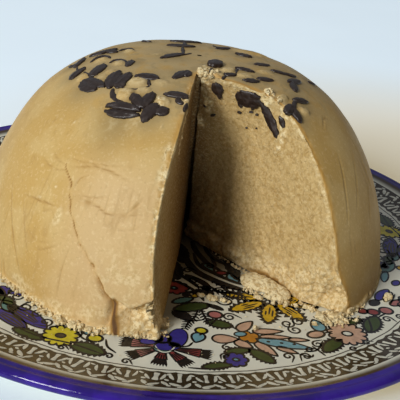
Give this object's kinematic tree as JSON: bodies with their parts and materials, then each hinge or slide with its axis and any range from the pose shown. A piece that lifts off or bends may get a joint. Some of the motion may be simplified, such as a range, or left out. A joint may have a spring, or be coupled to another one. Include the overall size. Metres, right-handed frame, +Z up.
{
  "type": "halva",
  "caption": "Domed block of tan sesame halva with dark chocolate flakes on its crown and a wedge cut out, standing on a round painted pottery plate.",
  "frame": {"origin": "centre of the plate's foot ring, on the surface it stands on", "axes": "+Z up; the cut opens towards -Y"},
  "size_m": [0.2492, 0.2492, 0.0845],
  "materials": {
    "plate_glaze": "glossy cream glaze with hand-painted flowers, brown scroll border and cobalt lip",
    "halva_skin": "smooth, slightly oily tan skin with fine wrinkles and specks",
    "halva_crumb": "dry, crumbly, fibrous broken and cut surface, paler than the skin",
    "dark_chocolate": "satin, nearly black brown"
  },
  "bodies": {
    "root": {"plate": "plate_glaze", "halva_body": "halva_skin", "halva_broken_piece": "halva_crumb", "chocolate_flake_01": "dark_chocolate", "chocolate_flake_02": "dark_chocolate", "chocolate_flake_03": "dark_chocolate", "chocolate_flake_04": "dark_chocolate", "chocolate_flake_05": "dark_chocolate", "chocolate_flake_06": "dark_chocolate", "chocolate_flake_07": "dark_chocolate", "chocolate_flake_08": "dark_chocolate", "chocolate_flake_09": "dark_chocolate", "chocolate_flake_10": "dark_chocolate", "chocolate_flake_11": "dark_chocolate", "chocolate_flake_12": "dark_chocolate", "chocolate_flake_13": "dark_chocolate", "chocolate_flake_14": "dark_chocolate", "chocolate_flake_15": "dark_chocolate", "chocolate_flake_16": "dark_chocolate", "chocolate_flake_17": "dark_chocolate", "chocolate_flake_18": "dark_chocolate", "chocolate_in_cut_1": "dark_chocolate", "chocolate_in_cut_2": "dark_chocolate"}
  },
  "joints": []
}
